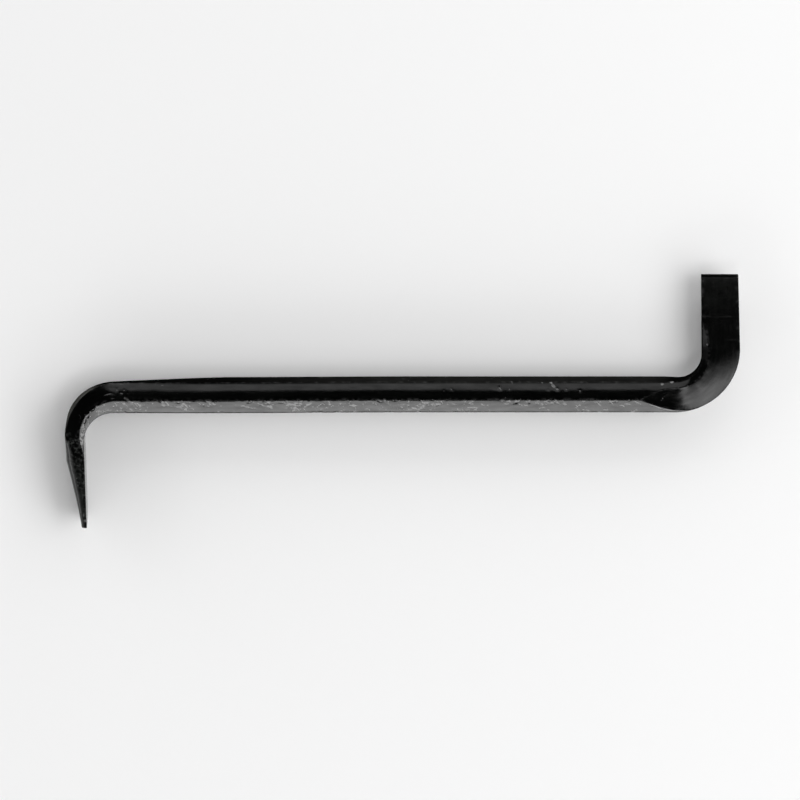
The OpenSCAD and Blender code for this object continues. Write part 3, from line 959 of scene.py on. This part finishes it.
def steel_skin(graph, worn, streaks, forged_at):
    """The height of the fine skin, which is coarser on the forging and cut by the flecks."""
    skin = graph.times(graph.cloud(3.5, 4), 0.6)
    skin = graph.plus(skin, graph.times(streaks, 0.12))
    skin = graph.plus(skin, graph.times(graph.times(graph.cloud(1.3, 3), forged_at), 1.5))
    return graph.math("SUBTRACT", skin, graph.times(worn, 0.8))


def black_steel():
    """Oiled black forging: deep black with scuffs, knocked edges and bare flecks."""
    graph = Graph("black_steel")
    shader = graph.shader
    shader.inputs["IOR"].default_value = OIL_IOR
    worn, scuff = bare_flecks(graph), scuffing(graph)
    streaks = graph.patchy(3.0, 3, 0.35, 0.7, rough=0.6, stretch=14)
    dull_at, forged_at = graph.painted("dull"), graph.painted("forged")

    colour = steel_colour(graph, worn, scuff, streaks, dull_at)
    rough_at = steel_roughness(graph, worn, scuff, streaks, forged_at)
    graph.link(colour, shader.inputs["Base Color"])
    graph.link(graph.times(worn, 0.7), shader.inputs["Metallic"])
    graph.link(rough_at, shader.inputs["Roughness"])
    graph.link(oil_gloss(graph, dull_at), shader.inputs["Specular IOR Level"])
    bump = graph.add("ShaderNodeBump", {"Strength": BUMP_STRENGTH, "Distance": BUMP_DISTANCE})
    graph.link(steel_skin(graph, worn, streaks, forged_at), bump.inputs["Height"])
    graph.link(bump.outputs["Normal"], shader.inputs["Normal"])
    return graph.material


piece.data.materials.append(black_steel())
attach(piece, "root")
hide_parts("driver")

# ------------------------------------------------------ floor, lights, camera
FLOOR_HALF = 3.0
FLOOR_COLOUR = (0.95, 0.95, 0.95, 1)
WORLD_STRENGTH = 0.012
bar_axis = Vector((0, AXIS_Y * MM, AXIS_Z * MM))


def make_floor():
    half = FLOOR_HALF
    corners = [(-half, -half, 0), (half, -half, 0), (half, half, 0), (-half, half, 0)]
    mesh = bpy.data.meshes.new("floor")
    mesh.from_pydata(corners, [], [(0, 1, 2, 3)])
    floor = bpy.data.objects.new("floor", mesh)
    bpy.context.scene.collection.objects.link(floor)
    material = bpy.data.materials.new("pale_floor")
    material.use_nodes = True
    shader = material.node_tree.nodes["Principled BSDF"]
    shader.inputs["Base Color"].default_value = FLOOR_COLOUR
    shader.inputs["Roughness"].default_value = 1.0
    shader.inputs["Specular IOR Level"].default_value = 0.0
    mesh.materials.append(material)
    return floor


def soft_panel(name, bearing, elevation, distance, width, height, radiance):
    """A soft panel that faces the tool. Bearing 0 stands on the -Y side and 90 on the +X side."""
    lamp = bpy.data.lights.new(name, "AREA")
    lamp.shape = "RECTANGLE"
    lamp.size, lamp.size_y = width, height
    lamp.energy = radiance * math.pi * width * height
    holder = bpy.data.objects.new(name, lamp)
    turn, lift = math.radians(bearing), math.radians(elevation)
    out = Vector((
        math.sin(turn) * math.cos(lift),
        -math.cos(turn) * math.cos(lift),
        math.sin(lift),
    ))
    holder.location = bar_axis + out * distance
    holder.rotation_mode = "QUATERNION"
    holder.rotation_quaternion = out.to_track_quat("Z", "Y")
    holder.visible_camera = False
    bpy.context.scene.collection.objects.link(holder)
    return holder


# Name, bearing and elevation in degrees, distance, width, height, radiance
PANELS = (
    ("key_panel", 25, 13, 0.9, 2.14, 0.37, 3.35),
    ("side_panel", 63, 28, 0.9, 0.42, 0.3, 3.0),
    ("right_panel", 103, 40, 0.9, 0.8, 0.7, 2.85),
    ("back_panel", 178, 16, 0.9, 2.2, 0.4, 2.9),
    ("left_panel", -108, 14, 0.9, 1.0, 0.34, 2.8),
    ("front_panel", -30, 12, 0.9, 0.6, 0.4, 2.6),
    ("dim_panel", -61, 33, 0.9, 0.28, 0.4, 0.3),
)
FILL_PANEL = ("fill_panel", 180, 34.8, 0.6, 0.44, 0.26, 0.95)
FILL_X = 0.04
# Beside the cross blade, one above the other: name, elevation, height, radiance
RIM_PANELS = (
    ("rim_panel", 12.5, 0.16, 2.1),
    ("rim_panel_2", 32, 0.12, 0.42),
    ("rim_panel_3", 49, 0.11, 0.15),
)
RIM_BEARING, RIM_DISTANCE, RIM_WIDTH = -56, 0.42, 0.26
RIM_PLACE = Vector((-0.058, -0.012, 0))
# Facing straight down from the -Y side, for the level bend and the run-out, and dimmer in
# steps towards +Y: start and end in y, start and end in x, radiance
TOP_PANELS = (
    (-0.2975, -0.185, 0.03, 0.142, 2.8), (-0.185, -0.14, 0.03, 0.157, 2.8),
    (-0.14, -0.12, 0.03, 0.157, 1.5), (-0.12, -0.1, 0.03, 0.157, 0.7),
    (-0.1, -0.09, 0.03, 0.157, 0.12), (-0.155, -0.13, 0.157, 0.235, 2.5),
    (-0.13, -0.08, 0.157, 0.28, 2.4), (-0.12, -0.09, 0.12, 0.157, 1.8),
)
TOP_HEIGHT = 0.5

make_floor()
for panel in PANELS:
    soft_panel(*panel)
fill_panel = soft_panel(*FILL_PANEL)
fill_panel.location.x = FILL_X
for name, elevation, height, radiance in RIM_PANELS:
    rim_panel = soft_panel(name, RIM_BEARING, elevation, RIM_DISTANCE, RIM_WIDTH, height, radiance)
    rim_panel.location += RIM_PLACE
for number, (near, far, left_end, right_end, radiance) in enumerate(TOP_PANELS):
    width, height = right_end - left_end, far - near
    top_panel = soft_panel(f"top_panel_{number}", 0, 90, TOP_HEIGHT, width, height, radiance)
    top_panel.location = Vector(((left_end + right_end) / 2, (near + far) / 2, TOP_HEIGHT))

world = bpy.data.worlds.new("studio")
world.use_nodes = True
world.node_tree.nodes["Background"].inputs["Color"].default_value = (1, 1, 1, 1)
world.node_tree.nodes["Background"].inputs["Strength"].default_value = WORLD_STRENGTH
bpy.context.scene.world = world

CAMERA_TILT = 18.0       # degrees that the camera looks from the level blade's side
FRAME_WIDTH = 0.1399     # what the picture shows from side to side, in metres
AIM_ACROSS, AIM_DOWN = -0.00038, 0.00099    # from the middle of the bar's axis, in the frame
LENS = 400.0
SENSOR = 36.0
camera_data = bpy.data.cameras.new("camera")
camera_data.lens = LENS
camera_data.sensor_width = SENSOR
camera_data.clip_start, camera_data.clip_end = 0.1, 20
camera = bpy.data.objects.new("camera", camera_data)
bpy.context.scene.collection.objects.link(camera)
tilt = math.radians(CAMERA_TILT)
back = Vector((0, math.sin(tilt), math.cos(tilt)))
up = Vector((0, math.cos(tilt), -math.sin(tilt)))
right = up.cross(back)
aim = bar_axis + Vector((AIM_ACROSS, 0, 0)) - up * AIM_DOWN
eye = aim + back * (FRAME_WIDTH * LENS / SENSOR)
camera.matrix_world = Matrix((
    (right.x, up.x, back.x, eye.x),
    (right.y, up.y, back.y, eye.y),
    (right.z, up.z, back.z, eye.z),
    (0, 0, 0, 1),
))
bpy.context.scene.camera = camera
bpy.context.scene.view_settings.view_transform = "Standard"
